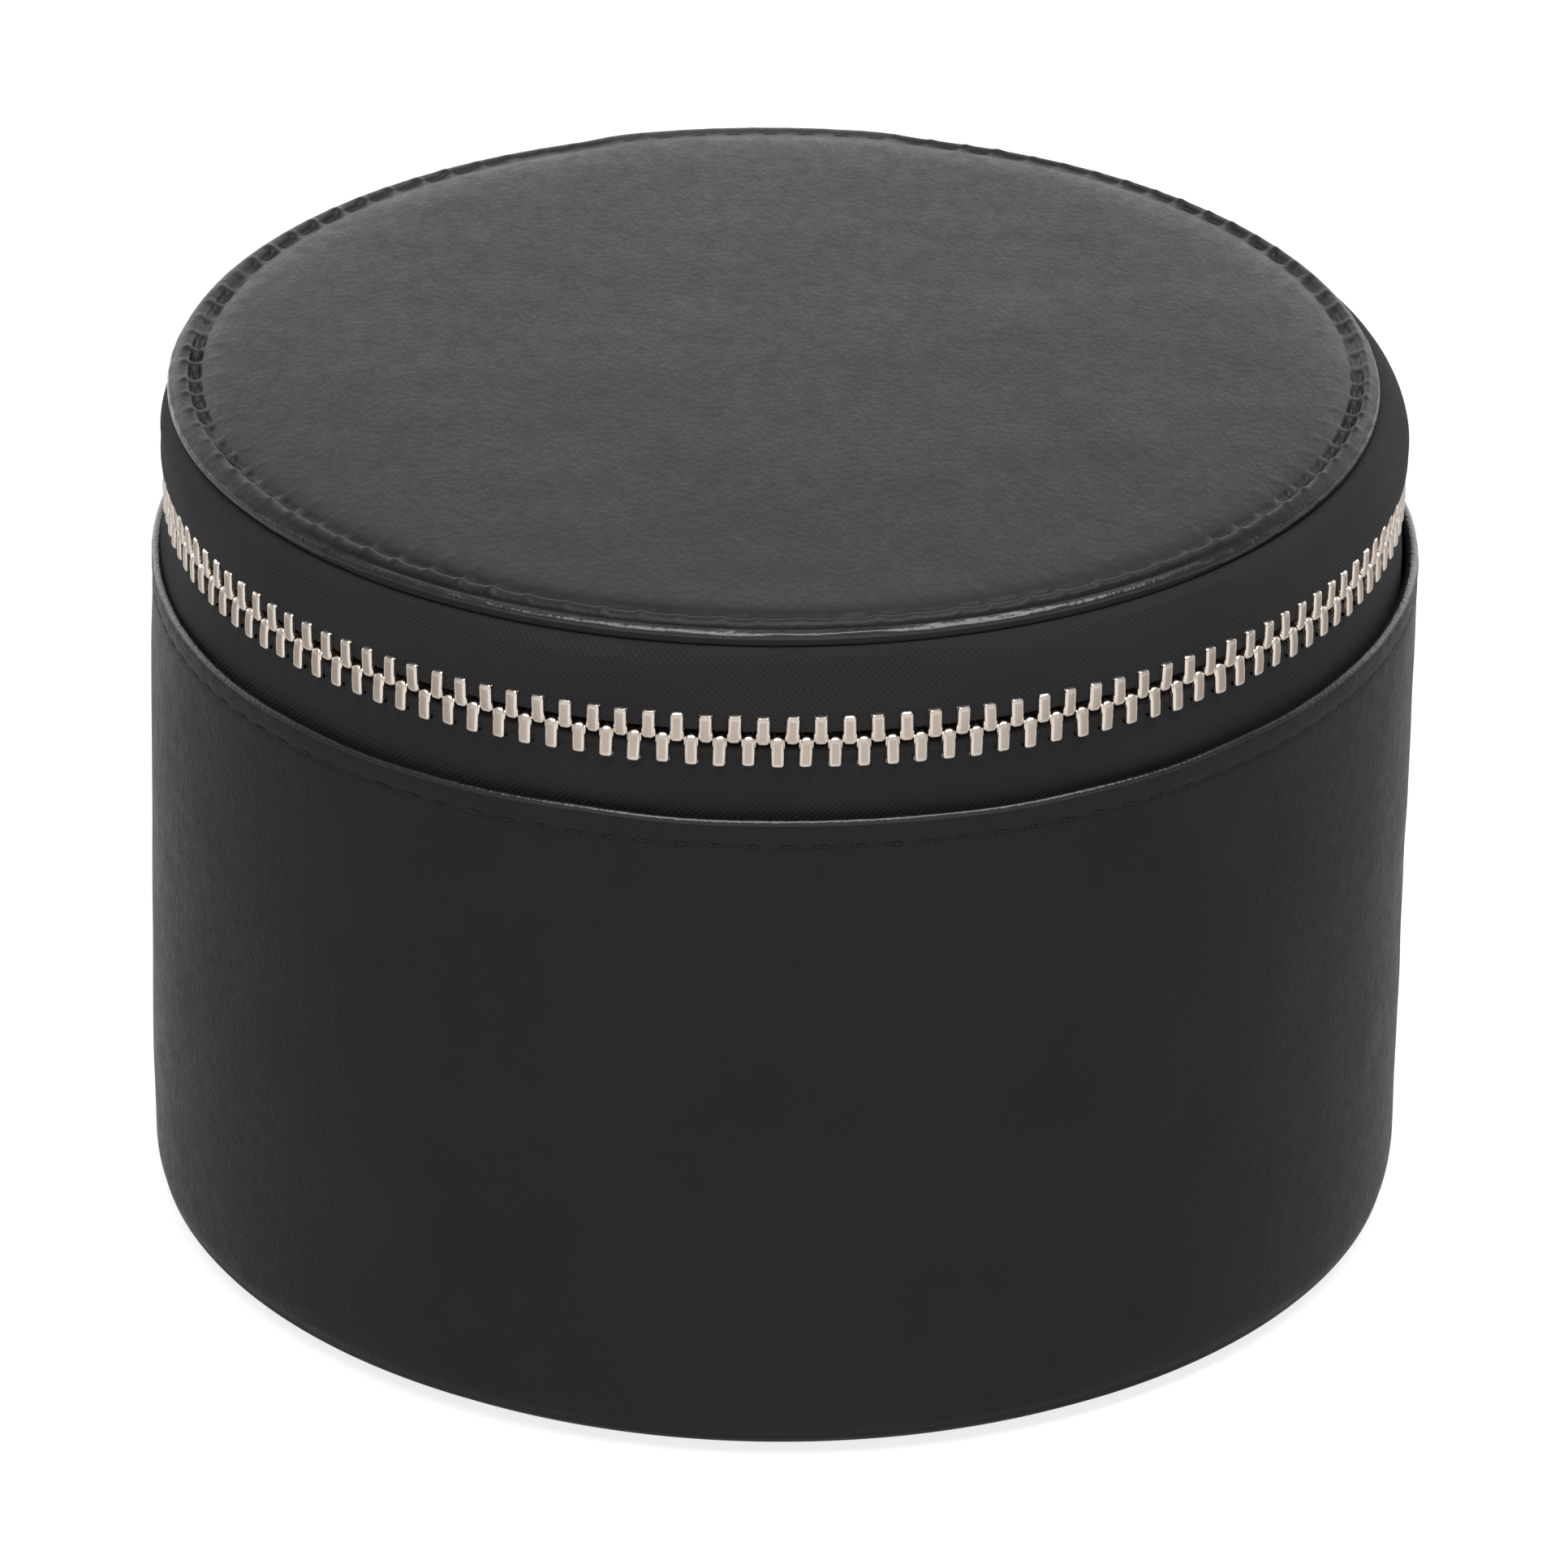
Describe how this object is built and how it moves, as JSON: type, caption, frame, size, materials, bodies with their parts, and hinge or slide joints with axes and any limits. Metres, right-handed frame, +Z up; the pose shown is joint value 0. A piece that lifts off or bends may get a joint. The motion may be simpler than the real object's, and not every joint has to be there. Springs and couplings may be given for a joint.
{
  "type": "jewellery case",
  "caption": "Round black leather jewellery case with a padded stitched lid on a leather hinge, a zip round its rim, lined compartments, ring rolls and a mirror in the lid.",
  "frame": {"origin": "on the case's axis, at the underside that it stands on", "axes": "+Z up, -Y towards the front, leather hinge at +Y, +X to the right seen from the front"},
  "size_m": [0.12, 0.1205, 0.0856],
  "materials": {
    "leather": "black smooth fine-grain leather, satin",
    "base_fabric": "black microfibre suede",
    "board": "grey binder's board",
    "lining": "taupe microfibre suede",
    "foam": "thin open-cell foam",
    "tape": "black herringbone woven tape",
    "zip_metal": "polished champagne-gold plating",
    "mirror_glass": "silvered glass"
  },
  "bodies": {
    "case": {"base_cover": "base_fabric", "body_leather": "leather", "base_board": "board", "body_board": "board", "wall_lining": "lining", "floor_pad": "lining", "left_divider": "lining", "right_divider": "lining", "cross_divider": "lining", "ring_shelf": "lining", "ring_roll_1": "lining", "ring_roll_2": "lining", "ring_roll_3": "lining", "ring_roll_4": "lining", "lower_zip_tape": "tape", "lower_zip_teeth": "zip_metal", "lower_top_stop": "zip_metal", "bottom_stop": "zip_metal", "hinge_leather": "leather", "hinge_facing": "lining"},
    "lid": {"lid_leather": "leather", "lid_foam": "foam", "lid_board": "board", "lid_lining": "lining", "mirror": "mirror_glass", "mirror_frame": "lining", "upper_zip_tape": "tape", "upper_tape_tail_left": "tape", "upper_tape_tail_right": "tape", "upper_zip_teeth": "zip_metal", "upper_top_stop": "zip_metal"},
    "slider": {"slider_body": "zip_metal", "slider_bail": "zip_metal"},
    "link": {"pull_link": "zip_metal"},
    "tab": {"pull_tab": "zip_metal"}
  },
  "joints": [
    {"name": "lid_hinge", "type": "hinge", "parent": "case", "child": "lid", "pos_m": [0, 0.0596, 0.0733], "axis": [-1, 0, 0], "range_deg": [0, 110], "deforming": ["hinge_leather", "hinge_facing", "upper_tape_tail_left", "upper_tape_tail_right", "upper_top_stop", "bottom_stop"]},
    {"name": "slider_travel", "type": "hinge", "parent": "case", "child": "slider", "pos_m": [0, 0, 0.0733], "axis": [0, 0, -1], "range_deg": [0, 310], "deforming": ["upper_zip_teeth", "lower_zip_teeth", "lower_top_stop"]},
    {"name": "link_swing", "type": "hinge", "parent": "slider", "child": "link", "pos_m": [0.02478, 0.057, 0.0733], "axis": [0.9171, -0.3987, 0], "range_deg": [0, 90]},
    {"name": "tab_sway", "type": "hinge", "parent": "link", "child": "tab", "pos_m": [0.02478, 0.057, 0.0672], "axis": [0.3987, 0.9171, 0], "range_deg": [-35, 35]}
  ]
}
